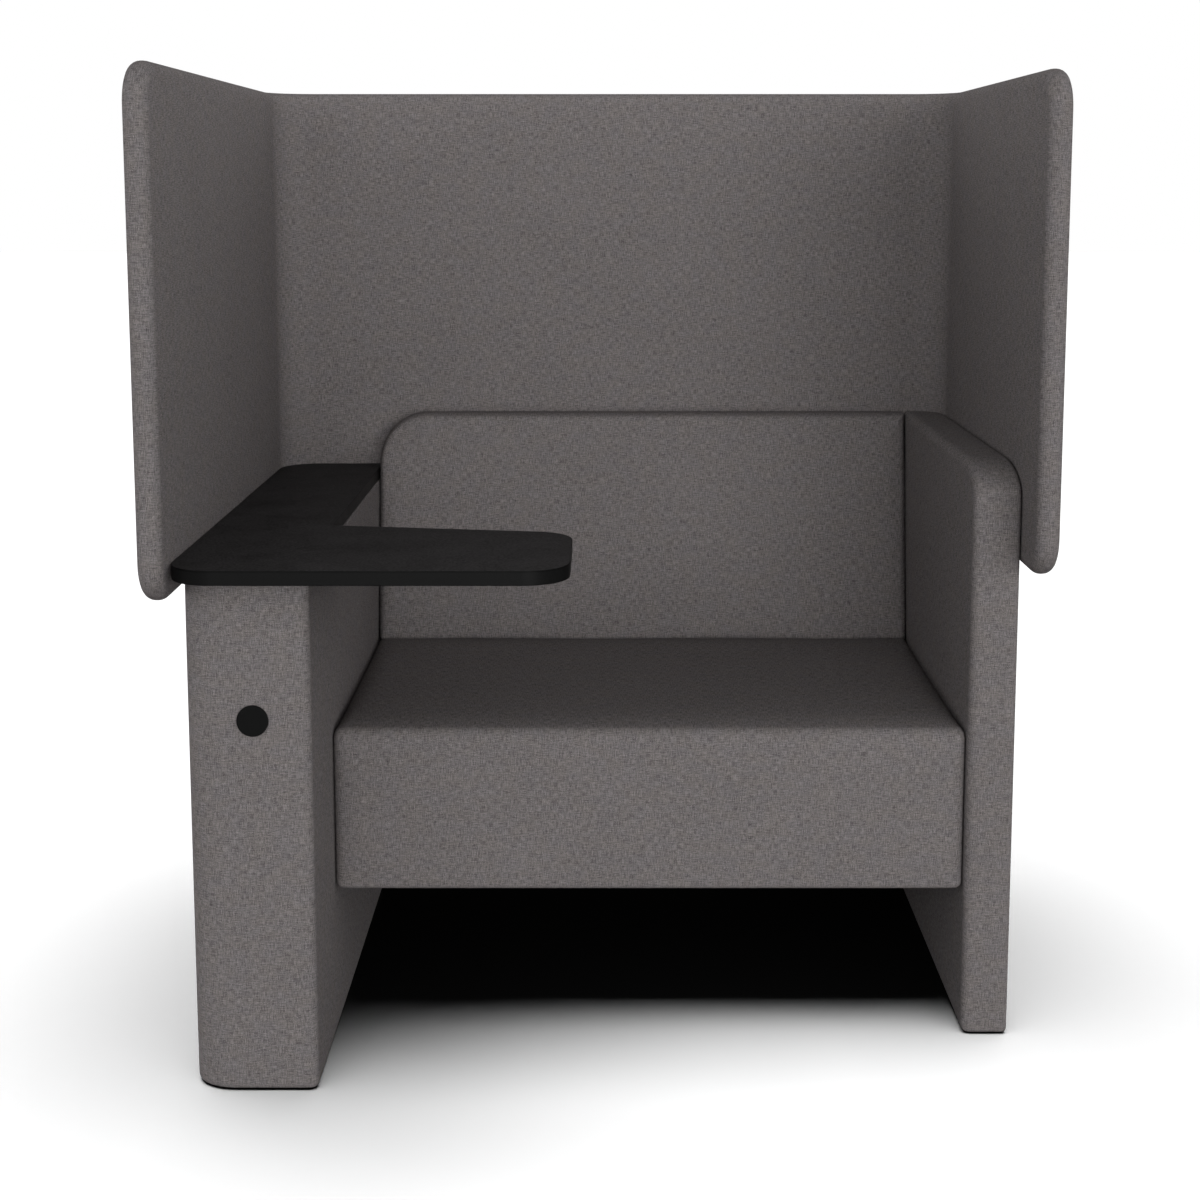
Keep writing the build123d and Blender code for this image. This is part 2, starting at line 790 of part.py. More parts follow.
def table_parts():
    """The board, its edge band and what bolts it to the arm."""
    outline = table_outline()
    field = offset(outline, -table_band, kind=Kind.INTERSECTION)
    whole = Pos(0, 0, left_arm_height) * extrude(outline, table_thickness)
    board = Pos(0, 0, left_arm_height) * extrude(field, table_thickness)
    faces = whole.faces().sort_by(Axis.Z)
    soft = fillet(faces[0].edges() + faces[-1].edges(), table_edge)
    bolts = table_bolts()
    inserts = [threaded_insert(*tip, small_bolt_radius) for tip in tips(bolts)]
    return {
        "table_board": cut(board, insert_pockets(bolts, small_bolt_radius)),
        "table_edge_band": soft - board,
        "table_bolts": group(hex_bolt(*bolt, small_bolt_radius) for bolt in bolts),
        "table_inserts": group(inserts),
    }


# Fastenings between the arms, the seat and the back


def fastening_parts():
    """The bolts and inserts that join the arms to the seat and the back, and the glide nuts."""
    bolts = arm_bolts()
    return {
        "arm_bolts": group(hex_bolt(*bolt, bolt_radius) for bolt in bolts),
        "arm_inserts": group(threaded_insert(*tip, bolt_radius) for tip in tips(bolts)),
        "glide_nuts": group(glide_nuts()),
    }


def glide_parts():
    """The stem and foot of each levelling glide."""
    made = {}
    for name, place in glide_places.items():
        made[f"glide_stem_{name}"] = glide_stem(place)
        made[f"glide_pad_{name}"] = glide_pad(place)
    return made


chair = {
    **left_arm_parts(),
    **right_arm_parts(),
    **back_parts(),
    **seat_parts(),
    **screen_parts(),
    **table_parts(),
    **fastening_parts(),
    **glide_parts(),
    "outlet_sleeve": outlet_sleeve(),
    "outlet_cap": outlet_cap(),
}

for name, shape in chair.items():
    export_step(shape, f"parts/{name}.step")
    print(name, len(shape.solids()))
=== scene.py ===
import json
import math

import bmesh
import bpy
import numpy as np
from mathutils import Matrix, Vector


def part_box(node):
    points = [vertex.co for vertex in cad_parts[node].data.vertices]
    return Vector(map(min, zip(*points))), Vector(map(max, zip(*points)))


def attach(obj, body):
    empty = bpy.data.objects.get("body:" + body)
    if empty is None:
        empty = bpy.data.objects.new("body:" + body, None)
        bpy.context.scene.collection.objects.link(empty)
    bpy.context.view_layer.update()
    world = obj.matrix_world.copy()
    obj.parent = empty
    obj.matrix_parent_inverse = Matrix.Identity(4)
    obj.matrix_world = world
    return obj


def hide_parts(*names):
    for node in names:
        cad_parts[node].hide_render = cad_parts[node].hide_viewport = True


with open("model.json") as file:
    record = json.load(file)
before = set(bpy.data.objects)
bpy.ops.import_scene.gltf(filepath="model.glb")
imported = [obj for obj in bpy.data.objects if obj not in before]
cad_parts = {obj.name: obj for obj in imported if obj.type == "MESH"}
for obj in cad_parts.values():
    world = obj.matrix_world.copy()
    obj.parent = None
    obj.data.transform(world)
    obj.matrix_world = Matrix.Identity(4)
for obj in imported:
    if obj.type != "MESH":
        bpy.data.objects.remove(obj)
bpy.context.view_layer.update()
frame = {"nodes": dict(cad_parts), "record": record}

nodes = frame["nodes"]
scene = bpy.context.scene
scene.view_settings.view_transform = "Standard"


# Camera, at a seated person's eye height and looking slightly down

cameraView = {
    "place": (-0.006, -2.714, 1.202),
    "degreesDown": 7.436,
    "lens": 55.5,
    "shift": (-0.0076, -0.1455),
}


def makeCamera(view):
    lens = bpy.data.cameras.new("camera")
    lens.lens = view["lens"]
    lens.shift_x, lens.shift_y = view["shift"]
    camera = bpy.data.objects.new("camera", lens)
    camera.location = view["place"]
    camera.rotation_euler = (math.radians(90 - view["degreesDown"]), 0, 0)
    scene.collection.objects.link(camera)
    scene.camera = camera


makeCamera(cameraView)
print("camera made")


# Small helpers for shader trees


def addNode(tree, kind, **inputs):
    # places a node and fills its sockets, with a value or with another node's output
    node = tree.nodes.new("ShaderNode" + kind)
    for name, value in inputs.items():
        setSocket(tree, node, name, value)
    return node


def setSocket(tree, node, name, value):
    socket = node.inputs[int(name[1:]) if name[0] == "i" and name[1:].isdigit() else name]
    if isinstance(value, bpy.types.NodeSocket):
        tree.links.new(value, socket)
    else:
        socket.default_value = value


def calculate(tree, operation, first, second=0.0, third=0.0):
    node = tree.nodes.new("ShaderNodeMath")
    node.operation = operation
    for number, value in enumerate((first, second, third)):
        setSocket(tree, node, f"i{number}", value)
    return node.outputs[0]


def blendColors(tree, share, first, second, mode="MIX"):
    node = tree.nodes.new("ShaderNodeMix")
    node.data_type = "RGBA"
    node.blend_type = mode
    setSocket(tree, node, "i0", share)
    setSocket(tree, node, "i6", first)
    setSocket(tree, node, "i7", second)
    return node.outputs[2]


def stretched(tree, vector, scale):
    # the same place, measured in other units along each axis
    return addNode(tree, "Mapping", Vector=vector, Scale=scale).outputs[0]


def noise(tree, vector, scale, detail=2.0, rough=0.5):
    made = addNode(tree, "TexNoise", Vector=vector, Scale=scale, Detail=detail, Roughness=rough)
    return made.outputs["Fac"]


def remap(tree, value, low, high, newLow=0.0, newHigh=1.0):
    node = tree.nodes.new("ShaderNodeMapRange")
    for number, entry in enumerate((value, low, high, newLow, newHigh)):
        setSocket(tree, node, f"i{number}", entry)
    return node.outputs[0]


def newGroup(name, inputs, outputs):
    group = bpy.data.node_groups.new(name, "ShaderNodeTree")
    for direction, sockets in (("INPUT", inputs), ("OUTPUT", outputs)):
        for label, kind, value in sockets:
            socket = group.interface.new_socket(label, in_out=direction, socket_type=kind)
            if value is not None:
                socket.default_value = value
    start = group.nodes.new("NodeGroupInput")
    end = group.nodes.new("NodeGroupOutput")
    return group, start.outputs, end


def useGroup(tree, group, **inputs):
    node = tree.nodes.new("ShaderNodeGroup")
    node.node_tree = group
    for name, value in inputs.items():
        setSocket(tree, node, name, value)
    return node.outputs


def weighted(tree, *pairs):
    # the sum of each value times its share
    total = 0.0
    for value, share in pairs:
        total = calculate(tree, "MULTIPLY_ADD", value, share, total)
    return total


def giveOut(group, end, color, roughness, height):
    for name, value in (("Color", color), ("Roughness", roughness), ("Height", height)):
        group.links.new(value, end.inputs[name])


floatSocket, colorSocket, vectorSocket = "NodeSocketFloat", "NodeSocketColor", "NodeSocketVector"
finishOutputs = [
    ("Color", colorSocket, None), ("Roughness", floatSocket, None), ("Height", floatSocket, None),
]

# Scales are per metre. Shares and heights say how much each noise adds to the tone and to the
# height, and pairs are the ends of a range.
weave = {
    "wanderScale": 260.0, "wander": 0.0009,
    "fibreScale": 900.0, "fibreStretch": 0.1, "fibreShare": 0.4, "yarnShare": 0.16,
    "grainScale": 760.0, "grainShare": 0.32, "grainHeight": 0.7,
    "blotchScale": 170.0, "blotchShare": 0.12, "blotchHeight": 1.2,
    "cloudScale": 9.0, "cloudShare": 0.05, "domeHeight": 0.5,
    "tone": (0.505, 0.94), "gapWidth": 0.6, "gapShade": 0.82,
    "tintScale": 42.0, "tintStretch": 0.7, "tint": (0.38, 0.62),
    "cool": (0.985, 0.99, 1.012, 1), "warm": (1.012, 1.0, 0.985, 1),
    "fleck": (0.7, 0.8), "fleckColor": (0.42, 0.4, 0.38, 1), "rough": (0.95, 0.82),
}


def makeWeaveGroup(look):
    # Each crossing of two yarns is a small dome, the root of |sin(pi u) sin(pi v)|, with u and v
    # counted in yarns. Fibres of two tones are spun together, so every yarn changes tone along
    # its length.
    group, given, end = newGroup(
        "yarnWeave",
        [
            ("Vector", vectorSocket, None),
            ("Yarn", floatSocket, 0.0012),
            ("Dark", colorSocket, (0.1, 0.1, 0.1, 1)),
            ("Light", colorSocket, (0.2, 0.2, 0.2, 1)),
            ("Fleck", floatSocket, 0.5),
        ],
        finishOutputs,
    )
    place = given["Vector"]
    wander = addNode(group, "TexNoise", Vector=place, Scale=look["wanderScale"], Detail=1.0)
    shifted = addNode(group, "VectorMath", i0=wander.outputs["Color"])
    shifted.operation = "MULTIPLY_ADD"
    shifted.inputs[1].default_value = (look["wander"], look["wander"], 0.0)
    group.links.new(place, shifted.inputs[2])
    parts = addNode(group, "SeparateXYZ", Vector=shifted.outputs[0])
    turn = calculate(group, "DIVIDE", math.pi, given["Yarn"])
    across = calculate(group, "SINE", calculate(group, "MULTIPLY", parts.outputs[0], turn))
    along = calculate(group, "SINE", calculate(group, "MULTIPLY", parts.outputs[1], turn))
    crossing = calculate(group, "MULTIPLY", across, along)
    dome = calculate(group, "SQRT", calculate(group, "ABSOLUTE", crossing))
    dash = look["fibreStretch"]
    weft = noise(group, stretched(group, place, (dash, 1.0, 1.0)), look["fibreScale"], detail=1.0)
    warp = noise(group, stretched(group, place, (1.0, dash, 1.0)), look["fibreScale"], detail=1.0)
    over = calculate(group, "GREATER_THAN", crossing, 0.0)
    yarn = addNode(group, "Mix", i0=over, i2=weft, i3=warp).outputs[0]
    fibres = calculate(group, "ADD", weft, warp)
    grain = noise(group, place, look["grainScale"], detail=1.0)
    blotch = noise(group, place, look["blotchScale"], detail=2.0, rough=0.6)
    cloud = noise(group, place, look["cloudScale"], detail=3.0, rough=0.55)
    tone = weighted(
        group, (grain, look["grainShare"]), (fibres, look["fibreShare"]), (yarn, look["yarnShare"]),
        (blotch, look["blotchShare"]), (cloud, look["cloudShare"]),
    )
    tone = remap(group, tone, *look["tone"])
    # painted shade: between the yarn domes the colour is darkened down to gapShade, and this is
    # multiplied into the colour below
    yarnGapShade = remap(group, dome, 0.0, look["gapWidth"], look["gapShade"], 1.0)
    color = blendColors(group, tone, given["Dark"], given["Light"])
    wide = stretched(group, place, (look["tintStretch"], 1.0, 1.0))
    tint = noise(group, wide, look["tintScale"], detail=2.0, rough=0.6)
    tint = blendColors(group, remap(group, tint, *look["tint"]), look["cool"], look["warm"])
    color = blendColors(group, 1.0, color, tint, "MULTIPLY")
    color = blendColors(group, 1.0, color, yarnGapShade, "MULTIPLY")
    fleck = remap(group, noise(group, place, look["grainScale"], detail=0.0), *look["fleck"])
    fleck = calculate(group, "MULTIPLY", fleck, given["Fleck"])
    color = blendColors(group, fleck, color, look["fleckColor"])
    height = weighted(
        group, (dome, look["domeHeight"]), (grain, look["grainHeight"]),
        (blotch, look["blotchHeight"]),
    )
    giveOut(group, end, color, remap(group, tone, 0.0, 1.0, *look["rough"]), height)
    return group


wood = {
    "bendScale": 9.0, "bendStretch": 0.2, "bend": 0.09, "slant": 0.7, "ringShare": 0.5,
    "poreScale": 900.0, "poreStretch": 0.06, "poreShare": 0.5, "tone": (0.2, 0.85),
    "pore": (0.3, 0.7), "rough": (0.75, 0.55), "bump": 0.0002,
}


def makeGrainGroup(look):
    # Year rings: the distance x + slant y from a far centre line, bent by noise, goes through
    # a sine. Pores are noise drawn out along the grain.
    group, given, end = newGroup(
        "woodGrain",
        [
            ("Vector", vectorSocket, None),
            ("Rings", floatSocket, 300.0),
            ("Dark", colorSocket, (0.3, 0.2, 0.1, 1)),
            ("Light", colorSocket, (0.6, 0.45, 0.3, 1)),
        ],
        finishOutputs,
    )
    place = given["Vector"]
    lengthwise = stretched(group, place, (1.0, 1.0, look["bendStretch"]))
    bend = noise(group, lengthwise, look["bendScale"], detail=3.0)
    parts = addNode(group, "SeparateXYZ", Vector=place)
    reach = calculate(group, "MULTIPLY_ADD", parts.outputs[1], look["slant"], parts.outputs[0])
    ring = calculate(group, "MULTIPLY_ADD", bend, look["bend"], reach)
    ring = calculate(group, "SINE", calculate(group, "MULTIPLY", ring, given["Rings"]))
    ring = remap(group, ring, -1.0, 1.0)
    along = stretched(group, place, (1.0, 1.0, look["poreStretch"]))
    pore = noise(group, along, look["poreScale"], detail=2.0, rough=0.6)
    share = weighted(group, (ring, look["ringShare"]), (pore, look["poreShare"]))
    color = blendColors(group, remap(group, share, *look["tone"]), given["Dark"], given["Light"])
    giveOut(group, end, color, remap(group, pore, *look["pore"], *look["rough"]), share)
    return group


speck = {
    "broadScale": 14.0, "broadShare": 0.3, "fineShare": 0.7, "tone": (0.35, 0.65),
    "rough": (0.3, 0.7),
}


def makeSpeckGroup(look):
    # Fine and broad noise added, for mouldings, laminate, foam, felt and metal.
    group, given, end = newGroup(
        "fineSpeck",
        [
            ("Vector", vectorSocket, None),
            ("Scale", floatSocket, 1500.0),
            ("Dark", colorSocket, (0.1, 0.1, 0.1, 1)),
            ("Light", colorSocket, (0.2, 0.2, 0.2, 1)),
            ("Smooth", floatSocket, 0.4),
            ("Rough", floatSocket, 0.6),
        ],
        finishOutputs,
    )
    place = given["Vector"]
    fine = addNode(group, "TexNoise", Vector=place, Scale=given["Scale"], Detail=3.0).outputs["Fac"]
    broad = noise(group, place, look["broadScale"], detail=4.0, rough=0.6)
    share = weighted(group, (broad, look["broadShare"]), (fine, look["fineShare"]))
    share = remap(group, share, *look["tone"])
    color = blendColors(group, share, given["Dark"], given["Light"])
    roughness = remap(group, broad, *look["rough"], given["Smooth"], given["Rough"])
    giveOut(group, end, color, roughness, fine)
    return group


weaveGroup = makeWeaveGroup(weave)
grainGroup = makeGrainGroup(wood)
speckGroup = makeSpeckGroup(speck)


def newMaterial(name, **constants):
    # an empty material with its shader, whose constants are set on the shader's own sockets
    material = bpy.data.materials.new(name)
    material.use_nodes = True
    tree = material.node_tree
    tree.nodes.clear()
    shader = addNode(tree, "BsdfPrincipled", **constants)
    addNode(tree, "OutputMaterial", Surface=shader.outputs[0])
    return material, tree, shader


def connect(tree, shader, outputs, depth):
    # colour, roughness and a bump of the given depth in metres
    tree.links.new(outputs["Color"], shader.inputs["Base Color"])
    tree.links.new(outputs["Roughness"], shader.inputs["Roughness"])
    bump = addNode(tree, "Bump", Strength=1.0, Distance=depth, Height=outputs["Height"])
    tree.links.new(bump.outputs[0], shader.inputs["Normal"])


def placeOf(tree, kind="Object"):
    return addNode(tree, "TexCoord").outputs[kind]


clothFinish = {
    "yarn": 0.00125,
    "dark": (0.062, 0.0568, 0.0562, 1),
    "light": (0.27, 0.2475, 0.245, 1),
    "fleck": 0.4,
    "bump": 0.00025,
    "sheen": 0.01,
}


def makeCloth(finish):
    constants = {"Specular IOR Level": 0.0, "Sheen Weight": finish["sheen"], "Sheen Roughness": 0.5}
    material, tree, shader = newMaterial("woolCloth", **constants)
    outputs = useGroup(
        tree, weaveGroup, Vector=placeOf(tree, "UV"), Yarn=finish["yarn"], Dark=finish["dark"],
        Light=finish["light"], Fleck=finish["fleck"],
    )
    connect(tree, shader, outputs, finish["bump"])
    return material


def makeWoven(name, yarn, dark, light, bump):
    material, tree, shader = newMaterial(name, **{"Specular IOR Level": 0.1})
    outputs = useGroup(
        tree, weaveGroup, Vector=placeOf(tree), Yarn=yarn, Dark=(*dark, 1), Light=(*light, 1),
        Fleck=0.0,
    )
    connect(tree, shader, outputs, bump)
    return material


def makeSpeckled(name, scale, dark, light, smooth, rough, bump, **constants):
    material, tree, shader = newMaterial(name, **constants)
    outputs = useGroup(
        tree, speckGroup, Vector=placeOf(tree), Scale=scale, Dark=(*dark, 1), Light=(*light, 1),
        Smooth=smooth, Rough=rough,
    )
    connect(tree, shader, outputs, bump)
    return material


def makeWood(name, rings, dark, light, turn=(0, 0, 0)):
    material, tree, shader = newMaterial(name)
    place = addNode(tree, "Mapping", Vector=placeOf(tree), Rotation=turn).outputs[0]
    outputs = useGroup(
        tree, grainGroup, Vector=place, Rings=rings, Dark=(*dark, 1), Light=(*light, 1),
    )
    connect(tree, shader, outputs, wood["bump"])
    return material


# the last two entries set the painted shade of the groove under the laminate: its width and its
# colour
bandFinish = {
    "scale": 900.0, "dark": (0.0032,) * 3 + (1,), "light": (0.0054,) * 3 + (1,), "smooth": 0.42,
    "rough": 0.52, "bump": 0.00004, "grooveShadeWidth": 0.0022, "grooveShadeColor": (0.0012,) * 3 + (1,),
}


def makeEdgeBand(finish):
    # like the other mouldings, with painted shade: a darker band along its top, just under the
    # laminate, where the groove between them lies in shade
    material, tree, shader = newMaterial("blackEdgeBand", **{"Specular IOR Level": 0.1})
    place = placeOf(tree)
    outputs = useGroup(
        tree, speckGroup, Vector=place, Scale=finish["scale"], Dark=finish["dark"],
        Light=finish["light"], Smooth=finish["smooth"], Rough=finish["rough"],
    )
    connect(tree, shader, outputs, finish["bump"])
    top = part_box("table_edge_band")[1][2]
    height = addNode(tree, "SeparateXYZ", Vector=place).outputs[2]
    # painted shade: near the top, the colour turns to the darker groove shade colour
    line = calculate(tree, "GREATER_THAN", height, top - finish["grooveShadeWidth"])
    dark = blendColors(tree, line, outputs["Color"], finish["grooveShadeColor"])
    tree.links.new(dark, shader.inputs["Base Color"])
    return material


cloth = makeCloth(clothFinish)
laminate = makeSpeckled(
    "blackLaminate", scale=300.0, dark=(0.0, 0.0, 0.0), light=(0.036, 0.034, 0.0348),
    smooth=0.46, rough=0.58, bump=0.0001, **{"Specular IOR Level": 0.05},
)
edgeBand = makeEdgeBand(bandFinish)
moulding = makeSpeckled(
    "blackMoulding", scale=1800.0, dark=(0.003, 0.0031, 0.003), light=(0.0048, 0.005, 0.0049),
    smooth=0.45, rough=0.58, bump=0.00005, **{"Specular IOR Level": 0.08},
)
zinc = makeSpeckled(
    "zincPlated", scale=1100.0, dark=(0.5, 0.5, 0.51), light=(0.66, 0.66, 0.65),
    smooth=0.25, rough=0.42, bump=0.00003, Metallic=1.0,
)
brass = makeSpeckled(
    "turnedBrass", scale=1300.0, dark=(0.55, 0.4, 0.17), light=(0.74, 0.56, 0.28),
    smooth=0.25, rough=0.4, bump=0.00003, Metallic=1.0,
)
foam = makeSpeckled(
    "cutFoam", scale=700.0, dark=(0.55, 0.5, 0.36), light=(0.8, 0.76, 0.62),
    smooth=0.85, rough=0.95, bump=0.0006,
)
felt = makeSpeckled(
    "needledFelt", scale=500.0, dark=(0.12, 0.115, 0.11), light=(0.3, 0.29, 0.28),
    smooth=0.85, rough=0.95, bump=0.0005,
)
webbing = makeWoven(
    "elasticWebbing", yarn=0.0022, dark=(0.016, 0.016, 0.02), light=(0.085, 0.085, 0.1),
    bump=0.0004,
)
dustFinish = makeWoven(
    "blackSpunbond", yarn=0.0011, dark=(0.004, 0.004, 0.004), light=(0.02, 0.02, 0.02),
    bump=0.0001,
)
plywood = makeWood(
    "birchPlywood", rings=420.0, dark=(0.42, 0.28, 0.16), light=(0.62, 0.46, 0.3),
)
beech = makeWood(
    "steamedBeech", rings=700.0, dark=(0.4, 0.22, 0.12), light=(0.56, 0.36, 0.22),
    turn=(0, math.pi / 2, 0),
)
print("materials made")

finishOf = {
    "fabric": cloth, "foam": foam, "felt": felt, "webbing": webbing, "dust_cloth": dustFinish,
    "table_top": laminate, "table_edge": edgeBand, "black_plastic": moulding, "zinc_steel": zinc,
    "brass": brass, "plywood": plywood, "beech": beech,
}
# every node takes the finish of its slot
for part in frame["record"]["subparts"]:
    slots = nodes[part["node"]].data.materials
    slots.clear()
    slots.append(finishOf[part["material_slot"]])


# Padded pieces. Each is a closed skin over a form that is drawn in one plane (a, b) and has a
# thickness c: a ring round its edge and a patch on each side. A form's steps count its faces:
# over half a corner, along a, along b, through the thickness and round an edge.

sharp = 0.002  # radius of a corner that looks square
least = 0.0002  # smallest radius that is drawn
joined = 0.00005  # points nearer than this become one
patchShift = (3.7, 1.9)  # sets the patches' cloth apart from the ring's


def cornerLoop(low, high, radii, inset, steps):
    # A rectangle's outline, drawn in by the inset, with a quarter of an ellipse at each corner:
    # centre + (ra cos t, rb sin t). It runs from the middle of one corner to the next.
    arcSteps, stepsA, stepsB = steps
    low, high = np.array(low, float), np.array(high, float)
    signs = np.array([(-1, -1), (1, -1), (1, 1), (-1, 1)], float)
    corners = np.where(signs < 0, low, high)
    radii = np.array([np.broadcast_to(r, 2) for r in radii], float)
    centres = corners - signs * np.maximum(radii, inset + least)
    reach = np.maximum(radii - inset, least)
    starts = np.radians([180, 270, 0, 90])
    t = np.linspace(0, np.pi / 2, 2 * arcSteps + 1)
    angles = starts[:, None] + t
    circle = np.stack([np.cos(angles), np.sin(angles)], -1)
    arcs = centres[:, None] + reach[:, None] * circle
    sides = []
    for corner in range(4):
        here, there = arcs[corner], arcs[(corner + 1) % 4]
        count = (stepsA, stepsB)[corner % 2]
        share = np.linspace(0, 1, count + 1)[1:-1, None]
        straight = here[-1] + (there[0] - here[-1]) * share
        sides.append(np.vstack([here[arcSteps:], straight, there[:arcSteps]]))
    return np.vstack(sides)


def coonsPatch(loop, counts):
    # A net between four sides: (1 - t) bottom + t top, plus (1 - s) left + s right, less the
    # same blend of the four corners, which both count.
    m, n = counts
    bottom, right = loop[: m + 1], loop[m : m + n + 1]
    top = loop[m + n : 2 * m + n + 1][::-1]
    left = np.vstack([loop[2 * m + n :], loop[:1]])[::-1]
    s = np.linspace(0, 1, m + 1)[None, :, None]
    t = np.linspace(0, 1, n + 1)[:, None, None]
    ruled = (1 - t) * bottom + t * top + (1 - s) * left[:, None] + s * right[:, None]
    corners = (1 - s) * (1 - t) * bottom[0] + s * (1 - t) * bottom[-1]
    corners = corners + (1 - s) * t * top[0] + s * t * top[-1]
    return ruled - corners


def netFaces(rows, columns, first, closed):
    # four-cornered faces between neighbouring rows and columns of a net of vertices
    r = np.arange(rows - 1)[:, None]
    c = np.arange(columns if closed else columns - 1)[None, :]
    nextC = (c + 1) % columns
    quads = [r * columns + c, r * columns + nextC, (r + 1) * columns + nextC, (r + 1) * columns + c]
    return first + np.stack(quads, -1).reshape(-1, 4)


def edgeRows(radius, count):
    # a quarter circle from a flat face round to the side: inset r(1 - sin), depth r(1 - cos)
    t = np.linspace(0, np.pi / 2, count + 1)
    return radius * (1 - np.sin(t)), radius * (1 - np.cos(t))


def swell(points, low, high, amounts):
    # Each face rises by its amount times (1 - |x|^6)(1 - |y|^6), so it is crowned in the middle
    # and keeps its edges. Amounts are given as low and high face along each axis.
    middle, half = (low + high) / 2, (high - low) / 2
    unit = np.clip((points - middle) / half, -1, 1)
    flat = 1 - np.abs(unit) ** 6
    moved = points.copy()
    for axis, (amountLow, amountHigh) in enumerate(amounts):
        others = [k for k in range(3) if k != axis]
        rise = flat[:, others[0]] * flat[:, others[1]]
        nearHigh, nearLow = (1 + unit[:, axis]) / 2, (1 - unit[:, axis]) / 2
        moved[:, axis] += rise * (nearHigh * amountHigh - nearLow * amountLow)
    return moved


def paddedForm(form):
    # the net of vertices, faces and flat cloth coordinates of one padded form, in (a, b, c)
    arcSteps, stepsA, stepsB, sideSteps, edgeSteps = form["steps"]
    low, high = np.array(form["low"]), np.array(form["high"])
    nearEdge, farEdge = form["edges"]
    insetNear, depthNear = edgeRows(nearEdge, edgeSteps)
    insetFar, depthFar = edgeRows(farEdge, edgeSteps)
    share = np.linspace(0, 1, sideSteps + 1)[1:-1]
    straight = low[2] + nearEdge + (high[2] - low[2] - nearEdge - farEdge) * share
    insets = np.concatenate([insetNear, 0 * share, insetFar[::-1]])
    depths = np.concatenate([low[2] + depthNear, straight, high[2] - depthFar[::-1]])
    steps = (arcSteps, stepsA, stepsB)
    loops = np.array([cornerLoop(low[:2], high[:2], form["corners"], d, steps) for d in insets])
    rows, columns = loops.shape[:2]
    levels = np.broadcast_to(depths[:, None, None], (rows, columns, 1))
    ring = np.concatenate([loops, levels], -1)
    counts = (stepsA + 2 * arcSteps, stepsB + 2 * arcSteps)
    patches = [coonsPatch(ring[0], counts), coonsPatch(ring[-1], counts)]
    points = np.vstack([net.reshape(-1, 3) for net in (ring, *patches)])

    # on the ring the cloth runs round the outline one way and across it the other
    belt = loops[rows // 2]
    around = np.linalg.norm(np.diff(belt, axis=0, append=belt[:1]), axis=1)
    around = np.concatenate([[0], np.cumsum(around)])
    down = np.concatenate([[0], np.cumsum(np.hypot(np.diff(insets), np.diff(depths)))])
    column = np.arange(columns)[:, None] + [0, 1, 1, 0]
    row = np.arange(rows - 1)[:, None, None] + [0, 0, 1, 1]
    ringUv = np.stack(np.broadcast_arrays(around[column], down[row]), -1).reshape(-1, 4, 2)
    if form.get("ringTurned"):
        ringUv = ringUv[..., ::-1]

    # on a patch the cloth lies flat, so its coordinates are the places themselves
    nets, uvs = [netFaces(rows, columns, 0, True)], [ringUv]
    first = rows * columns
    for patch in patches:
        quads = netFaces(*patch.shape[:2], first, False)
        nets.append(quads)
        uvs.append(points[quads][..., :2] + patchShift)
        first += patch.shape[0] * patch.shape[1]
    return points, np.vstack(nets), np.vstack(uvs)


def turnOutward(mesh):
    loose = bmesh.new()
    loose.from_mesh(mesh)
    bmesh.ops.remove_doubles(loose, verts=loose.verts, dist=joined)
    bmesh.ops.recalc_face_normals(loose, faces=loose.faces)
    loose.to_mesh(mesh)
    loose.free()


def newPiece(name, points, faces, material=None, uvs=None, closed=True, smooth=True):
    # puts a net into a mesh; a closed one is joined at its seams and turned outward
    mesh = bpy.data.meshes.new(name)
    mesh.from_pydata(points, [], faces)
    if uvs is not None:
        layer = mesh.uv_layers.new(name="cloth")
        layer.data.foreach_set("uv", uvs.reshape(-1).astype(np.float32))
    if closed:
        turnOutward(mesh)
    mesh.polygons.foreach_set("use_smooth", np.full(len(mesh.polygons), smooth))
    if material:
        mesh.materials.append(material)
    piece = bpy.data.objects.new(name, mesh)
    scene.collection.objects.link(piece)
    return piece


def clothPiece(name, points, faces, uvs):
    return newPiece(name, points.tolist(), faces.tolist(), cloth, uvs)


def placesIn(mesh):
    places = np.empty(3 * len(mesh.vertices))
    mesh.vertices.foreach_get("co", places)
    return places.reshape(-1, 3)


def inflate(piece, held, cap, low, high, air):
    # Cloth simulation: air blows the skin up while the held points stay where they are. A
    # movement d is then limited to cap tanh(d / cap), and to the room between low and high. The
    # 1e-9 keeps a point that stays still from being divided by zero.
    start = placesIn(piece.data)
    piece.vertex_groups.new(name="held").add(np.flatnonzero(held(start)).tolist(), 1.0, "REPLACE")
    skin = piece.modifiers.new("skin", "CLOTH")
    skin.settings.vertex_group_mass = "held"
    skin.settings.use_pressure = True
    skin.settings.uniform_pressure_force = air["pressure"]
    skin.settings.effector_weights.gravity = 0
    skin.point_cache.frame_start, skin.point_cache.frame_end = 1, air["frames"]
    for moment in range(1, air["frames"] + 1):
        scene.frame_set(moment)
    swollen = placesIn(piece.evaluated_get(bpy.context.evaluated_depsgraph_get()).data)
    piece.modifiers.remove(skin)
    scene.frame_set(1)
    moved = swollen - start
    size = np.linalg.norm(moved, axis=1, keepdims=True) + 1e-9
    places = np.clip(start + moved / size * cap * np.tanh(size / cap), low, high)
    piece.data.vertices.foreach_set("co", places.reshape(-1))
    print(piece.name, "swelled by", round(float(size.max()) * 1000, 1), "mm before the cap")


def subdivide(piece):
    smooth = piece.modifiers.new("smooth", "SUBSURF")
    smooth.levels = smooth.render_levels = 1


